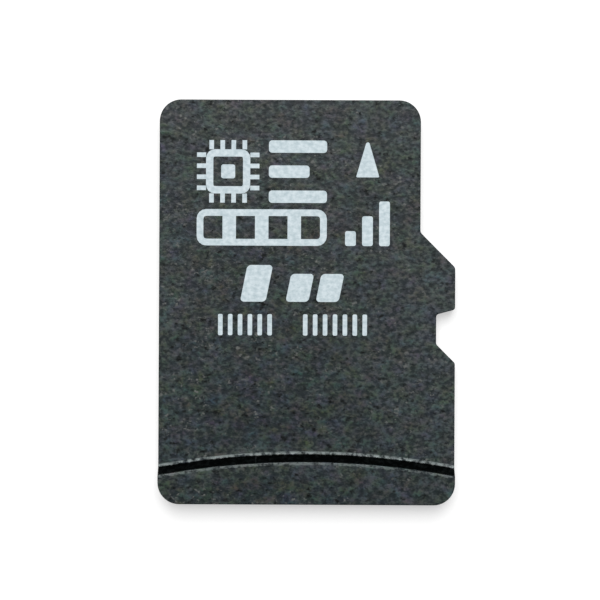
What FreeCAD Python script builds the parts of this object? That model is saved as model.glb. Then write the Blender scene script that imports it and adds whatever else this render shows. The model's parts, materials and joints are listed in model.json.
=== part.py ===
import FreeCAD, Part
import os

import Sketcher

# Removable flash memory card, lying on its contact side.
# x runs across the card, y towards the end that goes into the socket, z up to the printed face.
# The origin is under the middle of the card, on the face that it lies on.
#
# The real card is one panel: a thin board carries stacked silicon dies, bond wires and capacitors,
# black compound is moulded over them, and one cut then gives board and compound the same outline.
# So a blank with that outline is made once here, and sliced into the board and the moulded body.

# Driving sizes in millimetres and degrees: name, value, meaning.
SIZES = [
    # Outline
    ("card_length", 15.0, "front edge to rear edge"),
    ("card_width", 11.0, "side to side across the rear part"),
    ("shoulder_step", 1.3, "how much narrower the front part is, on one side"),
    ("shoulder_distance", 6.2, "front edge to where the full width begins"),
    ("shoulder_angle", 45.0, "slope of the shoulder from the card's long side"),
    ("corner_radius", 0.8, "rounding of the four outer corners"),
    ("shoulder_radius", 0.2, "rounding of both ends of the shoulder"),
    ("notch_distance", 7.95, "front edge to the front of the latch notch's floor"),
    ("notch_length", 1.1, "length of the notch's floor"),
    ("notch_depth", 0.7, "depth of the notch into the side"),
    ("notch_front_angle", 15.0, "lean of the notch's front wall"),
    ("notch_rear_angle", 45.0, "slope of the notch's rear wall from the card's long side"),
    ("notch_radius", 0.12, "rounding of the notch's corners"),
    # Thickness and finger lip
    ("card_thickness", 0.7, "thickness in front of the lip"),
    ("lip_height", 0.3, "rise of the finger lip above the printed face"),
    ("lip_side_length", 1.06, "flat length of the lip along the card's sides"),
    ("lip_slope_run", 0.3, "length of the slope that rises to the lip"),
    ("lip_radius", 30.0, "radius of the lip's curved crest"),
    ("lip_edge_radius", 0.06, "rounding at the foot and the crest of the slope"),
    ("top_edge_radius", 0.04, "rounding of the printed face's outer edge"),
    ("lead_in_length", 0.35, "length of the bevel under the front edge"),
    ("lead_in_height", 0.14, "height of the bevel under the front edge"),
    # Board and contacts
    ("board_thickness", 0.185, "laminate with its copper and resist"),
    ("contact_recess", 0.012, "depth of the contacts below the board's face"),
    ("contact_thickness", 0.02, "plated copper of a contact"),
    ("contact_width", 0.8, "width of a contact"),
    ("contact_pitch", 1.1, "spacing of the contacts"),
    ("signal_contact_front", 1.1, "front edge to the signal contacts"),
    ("supply_contact_front", 0.8, "front edge to the longer supply contacts"),
    ("contact_rear", 4.0, "front edge to the rear end of every contact"),
    ("contact_corner_radius", 0.12, "rounding of a contact's corners"),
    ("finger_thickness", 0.025, "plated copper on the board's inner face"),
    ("finger_width", 0.14, "width of a bond finger"),
    ("finger_length", 0.4, "length of a bond finger"),
    # Die stack
    ("film_thickness", 0.015, "adhesive film under each die"),
    ("flash_thickness", 0.075, "ground thickness of a flash die"),
    ("flash_side_margin", 0.5, "card's straight side to the lower flash die"),
    ("flash_step_margin", 2.1, "lower flash die to the card's stepped side"),
    ("flash_rear_margin", 1.5, "card's rear edge to the lower flash die"),
    ("flash_front_margin", 1.9, "lower flash die to the card's front edge"),
    ("stack_step_side", 0.3, "sideways step of the upper flash die"),
    ("stack_step_front", 0.45, "forward step of the upper flash die"),
    ("controller_width", 3.0, "width of the controller die"),
    ("controller_length", 2.4, "length of the controller die"),
    ("controller_thickness", 0.075, "ground thickness of the controller die"),
    ("controller_side_gap", 0.3, "upper flash die's side to the controller"),
    ("controller_rear_margin", 3.0, "card's rear edge to the controller"),
    # Bond wires
    ("wire_diameter", 0.025, "gold bond wire"),
    ("wire_sides", 8, "flats round the drawn section of a wire"),
    ("wire_inset", 0.1, "die edge to the wires bonded along it"),
    ("wire_rise", 0.07, "height of a wire's loop above its die"),
    ("wire_drop", 0.03, "upright end of a wire above its finger"),
    ("flash_wire_count", 8, "wires on each flash die"),
    ("flash_wire_pitch", 0.6, "spacing of the flash wires"),
    ("flash_finger_gap", 0.45, "lower flash die's rear edge to the fingers' middle"),
    ("controller_wire_count", 8, "wires on the controller"),
    ("controller_wire_pitch", 0.26, "spacing of the controller's wires"),
    ("controller_finger_gap", 0.6, "upper flash die's side to the fingers' middle"),
    # Capacitors
    ("capacitor_length", 0.6, "length of a chip capacitor"),
    ("capacitor_width", 0.3, "width of a chip capacitor"),
    ("capacitor_height", 0.3, "height of a chip capacitor"),
    ("capacitor_end_length", 0.15, "length of a capacitor's metal end"),
    ("capacitor_end_wrap", 0.012, "thickness of the metal end round the ceramic"),
    ("capacitor_rear_margin", 1.2, "card's rear edge to capacitor 1"),
    ("capacitor_pitch", 0.9, "capacitor 1 to capacitor 2"),
    ("capacitor_notch_gap", 0.95, "front of the notch's floor to capacitor 3"),
    ("land_overhang", 0.03, "copper land beyond the capacitor's end"),
]

# The contacts in their order from the stepped side, and whether each is a longer supply contact.
CONTACTS = [
    ("contact_1_data_2", False),
    ("contact_2_data_3", False),
    ("contact_3_command", False),
    ("contact_4_supply", True),
    ("contact_5_clock", False),
    ("contact_6_ground", True),
    ("contact_7_data_0", False),
    ("contact_8_data_1", False),
]
# Places that several pieces share, as expressions on the sheet.
LEFT = "(-Sizes.card_width / 2)"
RIGHT = "(Sizes.card_width / 2)"
FRONT = "(Sizes.card_length / 2)"
REAR = "(-Sizes.card_length / 2)"
NOSE_RIGHT = f"({RIGHT} - Sizes.shoulder_step)"
NOTCH_FRONT = f"({FRONT} - Sizes.notch_distance)"
FULL_HEIGHT = "(Sizes.card_thickness + Sizes.lip_height)"
LIP_CENTRE = f"({REAR} + Sizes.lip_side_length - sqrt(Sizes.lip_radius ^ 2 - Sizes.card_width ^ 2 / 4))"

BOARD_TOP = "Sizes.board_thickness"
COPPER_BASE = f"({BOARD_TOP} - Sizes.finger_thickness)"
LOWER_BASE = f"({BOARD_TOP} + Sizes.film_thickness)"
LOWER_TOP = f"({LOWER_BASE} + Sizes.flash_thickness)"
UPPER_BASE = f"({LOWER_TOP} + Sizes.film_thickness)"
UPPER_TOP = f"({UPPER_BASE} + Sizes.flash_thickness)"
CONTROLLER_BASE = f"({UPPER_TOP} + Sizes.film_thickness)"
CONTROLLER_TOP = f"({CONTROLLER_BASE} + Sizes.controller_thickness)"

FLASH_WIDTH = "(Sizes.card_width - Sizes.flash_side_margin - Sizes.flash_step_margin)"
FLASH_LENGTH = "(Sizes.card_length - Sizes.flash_rear_margin - Sizes.flash_front_margin)"
LOWER_LEFT = f"({LEFT} + Sizes.flash_side_margin)"
LOWER_REAR = f"({REAR} + Sizes.flash_rear_margin)"
UPPER_LEFT = f"({LOWER_LEFT} + Sizes.stack_step_side)"
UPPER_REAR = f"({LOWER_REAR} + Sizes.stack_step_front)"
UPPER_RIGHT = f"({UPPER_LEFT} + {FLASH_WIDTH})"
CONTROLLER_RIGHT = f"({UPPER_RIGHT} - Sizes.controller_side_gap)"
CONTROLLER_LEFT = f"({CONTROLLER_RIGHT} - Sizes.controller_width)"
CONTROLLER_REAR = f"({REAR} + Sizes.controller_rear_margin)"

FLASH_FINGER_Y = f"({LOWER_REAR} - Sizes.flash_finger_gap)"
CONTROLLER_FINGER_X = f"({UPPER_RIGHT} + Sizes.controller_finger_gap)"
FLASH_WIRE_SPAN = "((Sizes.flash_wire_count - 1) * Sizes.flash_wire_pitch)"
CONTROLLER_WIRE_SPAN = "((Sizes.controller_wire_count - 1) * Sizes.controller_wire_pitch)"
LOWER_WIRE_X = f"({LOWER_LEFT} + ({FLASH_WIDTH} - {FLASH_WIRE_SPAN}) / 2)"
UPPER_WIRE_X = f"({UPPER_LEFT} + ({FLASH_WIDTH} - {FLASH_WIRE_SPAN}) / 2)"
CONTROLLER_WIRE_Y = f"({CONTROLLER_REAR} + (Sizes.controller_length - {CONTROLLER_WIRE_SPAN}) / 2)"

# The capacitors stand in the strip between the dies and the stepped side: two at the rear, one by the notch.
STRIP_MIDDLE = f"(({UPPER_RIGHT} + {RIGHT}) / 2)"
CAPACITORS = {
    "capacitor_1": f"({REAR} + Sizes.capacitor_rear_margin)",
    "capacitor_2": f"({REAR} + Sizes.capacitor_rear_margin + Sizes.capacitor_pitch)",
    "capacitor_3": f"({NOTCH_FRONT} + Sizes.capacitor_notch_gap)",
}

NEAR = 1e-5


# Document helpers

doc = FreeCAD.newDocument("memory_card")
sheet = doc.addObject("Spreadsheet::Sheet", "Sizes")


def fill_sheet():
    """Writes each size's meaning and number, and names the number's cell."""
    for row, (alias, number, meaning) in enumerate(SIZES, start=1):
        sheet.set(f"A{row}", meaning)
        sheet.set(f"B{row}", str(number))
        sheet.setAlias(f"B{row}", alias)
    doc.recompute()


def value(expression):
    """An expression's number, with the sheet as it stands."""
    return float(sheet.evalExpression(expression))


def bind(item, **expressions):
    """Ties properties of a document object to expressions."""
    for name, expression in expressions.items():
        item.setExpression(name, expression)


def block(label, low, size):
    """A rectangular solid from its lowest corner and its three sizes, all expressions."""
    box = doc.addObject("Part::Box", label)
    bind(box, Length=size[0], Width=size[1], Height=size[2])
    for axis, place in zip("xyz", low):
        box.setExpression(f"Placement.Base.{axis}", place)
    return box


def group(label, members):
    """Separate solids kept together as one piece."""
    made = doc.addObject("Part::Compound", label)
    made.Links = members
    return made


def fused(label, members):
    made = doc.addObject("Part::MultiFuse", label)
    made.Shapes = members
    return made


def cut(label, base, tool):
    made = doc.addObject("Part::Cut", label)
    made.Base = base
    made.Tool = tool
    return made


def common(label, base, tool):
    made = doc.addObject("Part::Common", label)
    made.Base = base
    made.Tool = tool
    return made


def slab(label, low, high):
    """A layer of the card, wider and longer than the blank."""
    corner = (f"2 * {LEFT}", f"2 * {REAR}", low)
    size = ("2 * Sizes.card_width", "2 * Sizes.card_length", f"{high} - {low}")
    return block(label, corner, size)


# Sketch and feature helpers


def origin_part(body, role):
    """One of a body's own origin planes or axes."""
    return [part for part in body.Origin.OriginFeatures if part.Role == role][0]


def new_sketch(body, name, role):
    sketch = body.newObject("Sketcher::SketchObject", name)
    sketch.AttachmentSupport = (origin_part(body, role), [""])
    sketch.MapMode = "FlatFace"
    return sketch


def place_point(sketch, geometry, end, across, up):
    """Holds one end of a line, or a circle's centre, at a place given by two expressions."""
    for kind, expression in (("DistanceX", across), ("DistanceY", up)):
        held = Sketcher.Constraint(kind, -1, 1, geometry, end, value(expression))
        sketch.setExpression(f"Constraints[{sketch.addConstraint(held)}]", expression)


def line_chain(sketch, corners, closed):
    """Straight lines from corner to corner, each corner held by its two expressions."""
    points = [FreeCAD.Vector(value(across), value(up), 0) for across, up in corners]
    count = len(points) if closed else len(points) - 1
    for start in range(count):
        sketch.addGeometry(Part.LineSegment(points[start], points[(start + 1) % len(points)]))
        place_point(sketch, start, 1, *corners[start])
    for start in range(count if closed else count - 1):
        joined = Sketcher.Constraint("Coincident", start, 2, (start + 1) % count, 1)
        sketch.addConstraint(joined)
    if not closed:
        place_point(sketch, count - 1, 2, *corners[-1])


def round_edges(body, name, base, edges, radius):
    """Rounds the named edges of a feature by a size of the sheet."""
    fillet = body.newObject("PartDesign::Fillet", name)
    fillet.Base = (base, edges)
    bind(fillet, Radius=radius)
    doc.recompute()
    return fillet


def edge_names(shape, wanted):
    return [f"Edge{number}" for number, edge in enumerate(shape.Edges, start=1) if wanted(edge)]


def upright_at(corners):
    """A test for an upright edge that stands on one of the corners."""
    places = [(value(across), value(up)) for across, up in corners]

    def test(edge):
        first, last = edge.Vertexes[0].Point, edge.Vertexes[-1].Point
        upright = abs(first.x - last.x) < NEAR and abs(first.y - last.y) < NEAR
        return upright and any(abs(first.x - x) < NEAR and abs(first.y - y) < NEAR for x, y in places)

    return test


def tilt(face):
    """The upward part of a face's normal at its middle: 0 on a wall, 1 on a level face."""
    low_u, high_u, low_v, high_v = face.ParameterRange
    return face.normalAt((low_u + high_u) / 2, (low_v + high_v) / 2).z


# The blank: outline, finger lip, bevel and rounded edges


def outline_corners():
    """The card's outline with sharp corners, from the rear left corner round by the stepped side."""
    floor_rear = f"({NOTCH_FRONT} - Sizes.notch_length)"
    notch_floor = f"({RIGHT} - Sizes.notch_depth)"
    full_width = f"({FRONT} - Sizes.shoulder_distance)"
    return {
        "rear_left": (LEFT, REAR),
        "rear_right": (RIGHT, REAR),
        "notch_rear": (RIGHT, f"{floor_rear} - Sizes.notch_depth / tan(Sizes.notch_rear_angle)"),
        "floor_rear": (notch_floor, floor_rear),
        "floor_front": (notch_floor, NOTCH_FRONT),
        "notch_front": (RIGHT, f"{NOTCH_FRONT} + Sizes.notch_depth * tan(Sizes.notch_front_angle)"),
        "shoulder_rear": (RIGHT, full_width),
        "shoulder_front": (NOSE_RIGHT, f"{full_width} + Sizes.shoulder_step / tan(Sizes.shoulder_angle)"),
        "front_right": (NOSE_RIGHT, FRONT),
        "front_left": (LEFT, FRONT),
    }


def round_outline(body, pad, corners):
    """Rounds the upright edges of the outline, the smallest radius first."""
    rounds = [
        ("notch", "notch_radius", ("notch_rear", "floor_rear", "floor_front", "notch_front")),
        ("shoulder", "shoulder_radius", ("shoulder_rear", "shoulder_front")),
        ("corner", "corner_radius", ("rear_left", "rear_right", "front_right", "front_left")),
    ]
    feature = pad
    for name, radius, names in rounds:
        edges = edge_names(feature.Shape, upright_at([corners[corner] for corner in names]))
        feature = round_edges(body, f"{name}_rounds", feature, edges, f"Sizes.{radius}")
    return feature


def cut_lip(body):
    """Takes the face down in front of the lip, about the upright axis of the lip's curve."""
    reach = f"({LIP_CENTRE} + Sizes.lip_radius + Sizes.card_length + Sizes.card_width)"
    foot = f"({LIP_CENTRE} + Sizes.lip_radius + Sizes.lip_slope_run)"
    past_crest = f"({LIP_CENTRE} + Sizes.lip_radius - Sizes.lip_slope_run)"
    above = f"({FULL_HEIGHT} + Sizes.lip_height)"
    sketch = new_sketch(body, "lip_profile", "YZ_Plane")
    profile = [
        (foot, "Sizes.card_thickness"),
        (reach, "Sizes.card_thickness"),
        (reach, above),
        (past_crest, above),
    ]
    line_chain(sketch, profile, closed=True)
    axis_ends = [FreeCAD.Vector(value(LIP_CENTRE), height, 0) for height in (1, 2)]
    axis = sketch.addGeometry(Part.LineSegment(*axis_ends), True)
    sketch.addConstraint(Sketcher.Constraint("Vertical", axis))
    place_point(sketch, axis, 1, LIP_CENTRE, "Sizes.card_thickness")
    groove = body.newObject("PartDesign::Groove", "lip_face")
    groove.Profile = sketch
    groove.ReferenceAxis = (sketch, ["Axis0"])
    groove.Angle = 360
    doc.recompute()
    return groove


def round_lip(body, groove):
    """Rounds the foot and the crest of the slope: the two long arcs beside the one sloping face."""
    slope = [face for face in groove.Shape.Faces if NEAR < tilt(face) < 1 - NEAR][0]
    levels = (value("Sizes.card_thickness"), value(FULL_HEIGHT))

    def along_slope(edge):
        low, high = edge.BoundBox.ZMin, edge.BoundBox.ZMax
        on_slope = any(edge.isSame(side) for side in slope.Edges)
        return on_slope and high - low < NEAR and any(abs(low - level) < NEAR for level in levels)

    edges = edge_names(groove.Shape, along_slope)
    return round_edges(body, "lip_rounds", groove, edges, "Sizes.lip_edge_radius")


def round_top(body, base):
    """Rounds the edge between the printed face, with its lip, and the walls."""
    shape = base.Shape

    def rim(edge):
        tilts = sorted(tilt(face) for face in shape.ancestorsOfType(edge, Part.Face))
        return len(tilts) == 2 and abs(tilts[0]) < NEAR and tilts[1] > NEAR

    return round_edges(body, "top_rounds", base, edge_names(shape, rim), "Sizes.top_edge_radius")


def bevel_front(body):
    """The bevel under the front edge that leads the card into its socket."""
    sketch = new_sketch(body, "bevel_profile", "YZ_Plane")
    triangle = [
        (f"{FRONT} - 2 * Sizes.lead_in_length", "-Sizes.lead_in_height"),
        (f"{FRONT} + Sizes.lead_in_length", "-Sizes.lead_in_height"),
        (f"{FRONT} + Sizes.lead_in_length", "2 * Sizes.lead_in_height"),
    ]
    line_chain(sketch, triangle, closed=True)
    pocket = body.newObject("PartDesign::Pocket", "front_bevel")
    pocket.Profile = sketch
    pocket.Type = "ThroughAll"
    pocket.Midplane = True
    doc.recompute()
    return pocket


def make_blank():
    """The whole card's outer form as one solid."""
    body = doc.addObject("PartDesign::Body", "card_blank")
    corners = outline_corners()
    sketch = new_sketch(body, "outline", "XY_Plane")
    line_chain(sketch, list(corners.values()), closed=True)
    pad = body.newObject("PartDesign::Pad", "full_height")
    pad.Profile = sketch
    bind(pad, Length=FULL_HEIGHT)
    doc.recompute()
    round_outline(body, pad, corners)
    groove = cut_lip(body)
    rounded_lip = round_lip(body, groove)
    round_top(body, rounded_lip)
    body.Tip = bevel_front(body)
    doc.recompute()
    return body


# Copper of the board: contacts on its outer face, fingers and lands on its inner face


def make_window(number, label, supply):
    """The rounded opening in the board's outer face that a contact fills down to its recess."""
    place = (len(CONTACTS) - 1) / 2 - number
    middle = f"(({LEFT} + {NOSE_RIGHT}) / 2 + {place} * Sizes.contact_pitch)"
    start = "supply_contact_front" if supply else "signal_contact_front"
    sides = [f"{middle} - Sizes.contact_width / 2", f"{middle} + Sizes.contact_width / 2"]
    ends = [f"{FRONT} - Sizes.contact_rear", f"{FRONT} - Sizes.{start}"]
    corners = [(sides[0], ends[0]), (sides[1], ends[0]), (sides[1], ends[1]), (sides[0], ends[1])]
    body = doc.addObject("PartDesign::Body", f"{label}_window")
    sketch = new_sketch(body, f"{label}_outline", "XY_Plane")
    line_chain(sketch, corners, closed=True)
    pad = body.newObject("PartDesign::Pad", f"{label}_depth")
    pad.Profile = sketch
    bind(pad, Length="Sizes.contact_recess + Sizes.contact_thickness")
    doc.recompute()
    edges = edge_names(pad.Shape, upright_at(corners))
    round_edges(body, f"{label}_rounds", pad, edges, "Sizes.contact_corner_radius")
    return body


def make_contacts(windows):
    """The plated contacts: the layer of each window above the recess."""
    layer = slab("contact_layer", "Sizes.contact_recess", BOARD_TOP)
    return [common(label, window, layer) for (label, supply), window in zip(CONTACTS, windows)]


def make_flash_fingers():
    """A finger behind the dies for each flash wire."""
    fingers = []
    for die, first in (("lower", LOWER_WIRE_X), ("upper", UPPER_WIRE_X)):
        for number in range(round(value("Sizes.flash_wire_count"))):
            low = (
                f"{first} + {number} * Sizes.flash_wire_pitch - Sizes.finger_width / 2",
                f"{FLASH_FINGER_Y} - Sizes.finger_length / 2",
                COPPER_BASE,
            )
            size = ("Sizes.finger_width", "Sizes.finger_length", "Sizes.finger_thickness")
            fingers.append(block(f"{die}_finger_{number + 1}", low, size))
    return group("flash_bond_fingers", fingers)


def make_controller_fingers():
    """A finger beside the dies for each controller wire."""
    fingers = []
    for number in range(round(value("Sizes.controller_wire_count"))):
        low = (
            f"{CONTROLLER_FINGER_X} - Sizes.finger_length / 2",
            f"{CONTROLLER_WIRE_Y} + {number} * Sizes.controller_wire_pitch - Sizes.finger_width / 2",
            COPPER_BASE,
        )
        size = ("Sizes.finger_length", "Sizes.finger_width", "Sizes.finger_thickness")
        fingers.append(block(f"controller_finger_{number + 1}", low, size))
    return group("controller_bond_fingers", fingers)


# Low sides of a capacitor's two metal ends, across the card.
CAPACITOR_ENDS = {
    "left": f"({STRIP_MIDDLE} - Sizes.capacitor_length / 2)",
    "right": f"({STRIP_MIDDLE} + Sizes.capacitor_length / 2 - Sizes.capacitor_end_length)",
}


def make_capacitor_lands():
    """Two copper lands under every capacitor."""
    lands = []
    for label, middle in CAPACITORS.items():
        for side, end_side in CAPACITOR_ENDS.items():
            low = (
                f"{end_side} - Sizes.land_overhang",
                f"{middle} - Sizes.capacitor_width / 2 - Sizes.land_overhang",
                COPPER_BASE,
            )
            size = (
                "Sizes.capacitor_end_length + 2 * Sizes.land_overhang",
                "Sizes.capacitor_width + 2 * Sizes.land_overhang",
                "Sizes.finger_thickness",
            )
            lands.append(block(f"{label}_{side}_land", low, size))
    return group("capacitor_lands", lands)


# What is mounted on the board: dies on their films, capacitors, bond wires


def make_dies():
    """Two flash dies stepped on each other and the controller on top, each on its film."""
    flash = (FLASH_WIDTH, FLASH_LENGTH)
    control = ("Sizes.controller_width", "Sizes.controller_length")
    lower = (LOWER_LEFT, LOWER_REAR)
    upper = (UPPER_LEFT, UPPER_REAR)
    top = (CONTROLLER_LEFT, CONTROLLER_REAR)
    return [
        block("die_film_lower", (*lower, BOARD_TOP), (*flash, "Sizes.film_thickness")),
        block("flash_die_lower", (*lower, LOWER_BASE), (*flash, "Sizes.flash_thickness")),
        block("die_film_upper", (*upper, LOWER_TOP), (*flash, "Sizes.film_thickness")),
        block("flash_die_upper", (*upper, UPPER_BASE), (*flash, "Sizes.flash_thickness")),
        block("controller_film", (*top, UPPER_TOP), (*control, "Sizes.film_thickness")),
        block("controller_die", (*top, CONTROLLER_BASE), (*control, "Sizes.controller_thickness")),
    ]


def make_capacitor(label, middle):
    """A ceramic chip between its two metal ends, standing on its lands."""
    rear_side = f"{middle} - Sizes.capacitor_width / 2"
    end_size = ("Sizes.capacitor_end_length", "Sizes.capacitor_width", "Sizes.capacitor_height")
    ends = [
        block(f"{label}_{side}_end", (end_side, rear_side, BOARD_TOP), end_size)
        for side, end_side in CAPACITOR_ENDS.items()
    ]
    ceramic_low = (
        f"{CAPACITOR_ENDS['left']} + Sizes.capacitor_end_length",
        f"{rear_side} + Sizes.capacitor_end_wrap",
        f"{BOARD_TOP} + Sizes.capacitor_end_wrap",
    )
    ceramic_size = (
        "Sizes.capacitor_length - 2 * Sizes.capacitor_end_length",
        "Sizes.capacitor_width - 2 * Sizes.capacitor_end_wrap",
        "Sizes.capacitor_height - 2 * Sizes.capacitor_end_wrap",
    )
    return [block(f"{label}_ceramic", ceramic_low, ceramic_size), group(f"{label}_ends", ends)]


def wire_section(across, along):
    """Corners of a wire's section, a regular polygon about its middle."""
    corners = []
    for number in range(round(value("Sizes.wire_sides"))):
        angle = f"(360 * ({number} + 0.5) / Sizes.wire_sides)"
        corners.append(
            (
                f"{across} + Sizes.wire_diameter / 2 * cos({angle})",
                f"{along} + Sizes.wire_diameter / 2 * sin({angle})",
            )
        )
    return corners


def make_wire_row(label, plane, row_axis, first, bond, finger, die_top, count, pitch):
    """A row of bond wires. Each rises from its die, slopes down past the edge and ends upright on its finger.

    bond and finger are places along the wire, first is the first wire's place along the row.
    """
    body = doc.addObject("PartDesign::Body", label)
    body.AllowCompound = True
    path = new_sketch(body, f"{label}_path", plane)
    route = [
        (bond, die_top),
        (bond, f"{die_top} + Sizes.wire_rise"),
        (finger, f"{BOARD_TOP} + Sizes.wire_drop"),
        (finger, BOARD_TOP),
    ]
    line_chain(path, route, closed=False)
    # The normal of the XZ plane points towards -y, that of the YZ plane towards +x.
    offset = f"-({first})" if plane == "XZ_Plane" else first
    path.setExpression("AttachmentOffset.Base.z", offset)
    ring = new_sketch(body, f"{label}_section", "XY_Plane")
    ring.setExpression("AttachmentOffset.Base.z", die_top)
    middle = (bond, first) if plane == "XZ_Plane" else (first, bond)
    line_chain(ring, wire_section(*middle), closed=True)
    wire = body.newObject("PartDesign::AdditivePipe", f"{label}_wire")
    wire.Profile = ring
    wire.Spine = (path, [f"Edge{number}" for number in range(1, len(route))])
    wire.Transition = "Right corner"
    doc.recompute()
    row = body.newObject("PartDesign::LinearPattern", f"{label}_row")
    row.Originals = [wire]
    row.Direction = (origin_part(body, row_axis), [""])
    row.Mode = "Spacing"
    bind(row, Occurrences=count, Offset=pitch)
    body.Tip = row
    doc.recompute()
    return body


def make_wires():
    flash = {"plane": "YZ_Plane", "row_axis": "X_Axis", "finger": FLASH_FINGER_Y}
    flash["count"] = "Sizes.flash_wire_count"
    flash["pitch"] = "Sizes.flash_wire_pitch"
    return [
        make_wire_row(
            "flash_wires_lower",
            first=LOWER_WIRE_X,
            bond=f"({LOWER_REAR} + Sizes.wire_inset)",
            die_top=LOWER_TOP,
            **flash,
        ),
        make_wire_row(
            "flash_wires_upper",
            first=UPPER_WIRE_X,
            bond=f"({UPPER_REAR} + Sizes.wire_inset)",
            die_top=UPPER_TOP,
            **flash,
        ),
        make_wire_row(
            "controller_wires",
            plane="XZ_Plane",
            row_axis="Y_Axis",
            first=CONTROLLER_WIRE_Y,
            bond=f"({CONTROLLER_RIGHT} - Sizes.wire_inset)",
            finger=CONTROLLER_FINGER_X,
            die_top=CONTROLLER_TOP,
            count="Sizes.controller_wire_count",
            pitch="Sizes.controller_wire_pitch",
        ),
    ]


# Board and moulded body: slices of the blank with room for what they hold


def make_board(blank, let_in):
    layer = common("board_slice", blank, slab("board_layer", "0", BOARD_TOP))
    return cut("substrate_board", layer, fused("let_into_board", let_in))


def make_mould(blank, mounted):
    layer = common("mould_slice", blank, slab("mould_layer", BOARD_TOP, f"2 * {FULL_HEIGHT}"))
    return cut("mould_body", layer, fused("moulded_over", mounted))


# Checks and export


def check_document():
    """Stops the build if any object of the document failed."""
    for item in doc.Objects:
        if any(state in ("Invalid", "Error") for state in item.State):
            raise RuntimeError(f"{item.Label} failed: {item.State}")


def export(pieces):
    """Writes each piece to its own file, once all of them are sound."""
    for piece in pieces:
        shape = piece.Shape
        if shape.isNull() or not shape.isValid() or not shape.Solids:
            raise RuntimeError(f"{piece.Label} has no sound solid")
    os.makedirs("parts", exist_ok=True)
    for piece in pieces:
        piece.Shape.exportStep(os.path.join("parts", f"{piece.Label}.step"))
        box = piece.Shape.BoundBox
        sizes = f"{box.XLength:.3f} x {box.YLength:.3f} x {box.ZLength:.3f} mm"
        print(f"{piece.Label}: {len(piece.Shape.Solids)} solid, {sizes}, {piece.Shape.Volume:.5f} mm3")


def main():
    fill_sheet()
    blank = make_blank()
    windows = [make_window(number, *contact) for number, contact in enumerate(CONTACTS)]
    contacts = make_contacts(windows)
    inner_copper = [make_flash_fingers(), make_controller_fingers(), make_capacitor_lands()]
    dies = make_dies()
    capacitors = [piece for chip in CAPACITORS.items() for piece in make_capacitor(*chip)]
    wires = make_wires()
    mounted = [*dies, *capacitors, *wires]
    board = make_board(blank, [*windows, *inner_copper])
    mould = make_mould(blank, mounted)
    doc.recompute()
    check_document()
    export([mould, board, *contacts, *inner_copper, *mounted])


main()
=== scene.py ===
# %% [markdown]
# # A removable memory card
# The card is the size of a fingernail: a thin board with gold contacts below, and black compound
# moulded over it. It lies on its contact side with the printed face up. The solids come from the
# part's own model and stay as they are. This lesson sets up the camera and the studio, gives each
# solid its finish, and prints the white marks on the face.

# %% Load the solids
import json
import math

import bpy
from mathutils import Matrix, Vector


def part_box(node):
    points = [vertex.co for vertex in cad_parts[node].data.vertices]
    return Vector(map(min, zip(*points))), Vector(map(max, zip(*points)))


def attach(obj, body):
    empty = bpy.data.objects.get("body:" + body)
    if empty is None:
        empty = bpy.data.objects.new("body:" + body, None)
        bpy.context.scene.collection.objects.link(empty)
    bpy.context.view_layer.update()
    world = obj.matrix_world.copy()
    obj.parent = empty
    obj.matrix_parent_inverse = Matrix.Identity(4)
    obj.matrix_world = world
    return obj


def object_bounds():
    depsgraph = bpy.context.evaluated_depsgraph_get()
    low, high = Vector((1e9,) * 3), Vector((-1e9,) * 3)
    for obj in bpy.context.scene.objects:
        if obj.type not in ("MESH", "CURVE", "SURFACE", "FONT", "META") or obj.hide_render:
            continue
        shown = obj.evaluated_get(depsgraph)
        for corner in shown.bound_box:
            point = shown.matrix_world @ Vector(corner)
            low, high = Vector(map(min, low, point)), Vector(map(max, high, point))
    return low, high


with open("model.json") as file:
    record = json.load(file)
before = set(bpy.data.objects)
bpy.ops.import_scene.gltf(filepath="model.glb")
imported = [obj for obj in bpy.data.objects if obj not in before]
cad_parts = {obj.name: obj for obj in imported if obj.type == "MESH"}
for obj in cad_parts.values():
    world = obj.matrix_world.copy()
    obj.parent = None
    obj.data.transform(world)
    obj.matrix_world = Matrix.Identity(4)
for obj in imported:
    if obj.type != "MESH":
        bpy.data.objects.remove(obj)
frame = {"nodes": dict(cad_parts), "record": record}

MM = 0.001
cad_low, cad_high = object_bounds()
card_size = cad_high - cad_low
print("nodes:", len(frame["nodes"]), "card in mm:", [round(side / MM, 3) for side in card_size])

# %% [markdown]
# ## Camera
# The picture was taken from straight above, close to the card, with the card a quarter of a degree
# off square. The camera could be aimed with a Track To constraint, but one with no turn at all
# already looks straight down, with the card's front end at the top. So only its height, its place
# over the card and that small turn are needed. The near clip has to come down, because Blender's
# own starts farther out than this camera stands.

# %% Camera straight above the card
CAMERA_HEIGHT = 60 * MM
VIEW_WIDTH = 22.27 * MM
VIEW_MIDDLE = Vector((-0.262 * MM, 0.069 * MM, 0.7 * MM))
VIEW_TURN = math.radians(0.27)
SENSOR_WIDTH = 36

bpy.ops.object.select_all(action="DESELECT")
camera_place = VIEW_MIDDLE + Vector((0, 0, CAMERA_HEIGHT))
bpy.ops.object.camera_add(location=camera_place, rotation=(0, 0, VIEW_TURN))
camera = bpy.context.object
camera.data.sensor_width = SENSOR_WIDTH
camera.data.lens = SENSOR_WIDTH * CAMERA_HEIGHT / VIEW_WIDTH
camera.data.clip_start = CAMERA_HEIGHT / 100
bpy.context.scene.camera = camera
bpy.context.scene.view_settings.view_transform = "Standard"
print("lens in mm:", round(camera.data.lens, 1))

# %% [markdown]
# ## Floor
# The card lies on a white sheet. A white world behind it would look the same from above, but
# nothing would then catch the card's shadow. So the floor is a plane whose finish has two parts:
# matt paint, which shows the shadow, and a glow that lifts it to white where the camera or a
# reflection sees it. A finish is a network of nodes. Wiring it by hand means adding a node, typing
# its values and dragging its links. The first helper does those three things in one call, so that a
# finish reads as a list of what goes where.

# %% Helpers for shader nodes, and the floor's finish
FLOOR_GLOW = 0.5
FLOOR_GREY = 0.6


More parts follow.
